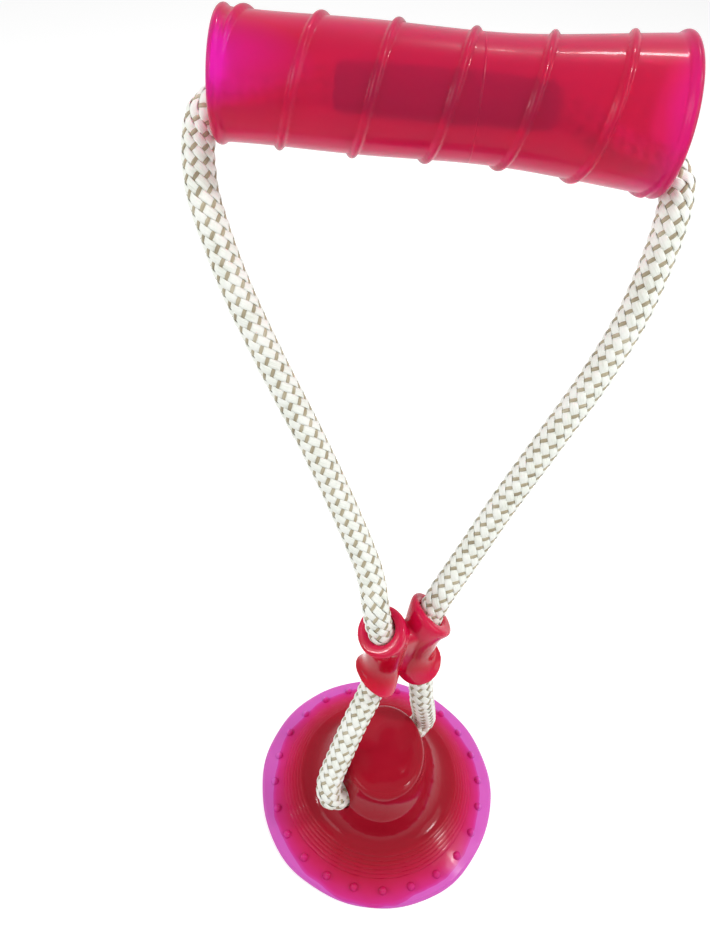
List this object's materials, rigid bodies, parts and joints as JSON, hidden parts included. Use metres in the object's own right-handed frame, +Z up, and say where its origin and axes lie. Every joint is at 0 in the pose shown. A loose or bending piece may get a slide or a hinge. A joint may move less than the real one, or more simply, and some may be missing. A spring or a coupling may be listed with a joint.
{
  "type": "suction cup tug toy",
  "caption": "Pet tug toy: a soft suction cup with a boss, a braided rope loop through the boss, a sliding bead on the rope and a waisted tube grip.",
  "frame": {"origin": "middle of the whole toy's box in plan, on the floor plane that the cup's lip rests on", "axes": "+X along the grip, +Y to the back, the way the loop leans, +Z up along the cup's axis"},
  "size_m": [0.1464, 0.1511, 0.2831],
  "materials": {
    "cup_rubber": "glossy translucent crimson thermoplastic rubber, magenta where it is thin",
    "bead_rubber": "glossy translucent red thermoplastic rubber",
    "grip_rubber": "satin translucent crimson thermoplastic rubber",
    "sleeve_plastic": "dark shrink tube",
    "rope_braid": "white braided cord with tan flecks"
  },
  "bodies": {
    "cup": {"suction_cup": "cup_rubber"},
    "rope_loop": {"rope_upper_left": "rope_braid", "rope_upper_right": "rope_braid", "rope_lower_left": "rope_braid", "rope_lower_right": "rope_braid", "splice_sleeve": "sleeve_plastic"},
    "bead": {"slider_bead": "bead_rubber"},
    "grip_tube": {"grip": "grip_rubber"}
  },
  "joints": [
    {"name": "cup_pivot", "type": "hinge", "parent": "cup", "child": "rope_loop", "pos_m": [0.007, -0.0256, 0.026], "axis": [0.6691, 0.7431, 0], "range_deg": [-55, 75]},
    {"name": "bead_slide", "type": "slide", "parent": "rope_loop", "child": "bead", "axis": [0, 0.267, 0.9637], "range_m": [-0.018, 0.04], "deforming": ["rope_upper_left", "rope_upper_right", "rope_lower_left", "rope_lower_right"]},
    {"name": "grip_spin", "type": "hinge", "parent": "rope_loop", "child": "grip_tube", "pos_m": [0, 0.0544, 0.262], "axis": [1, 0, 0], "continuous": true}
  ]
}
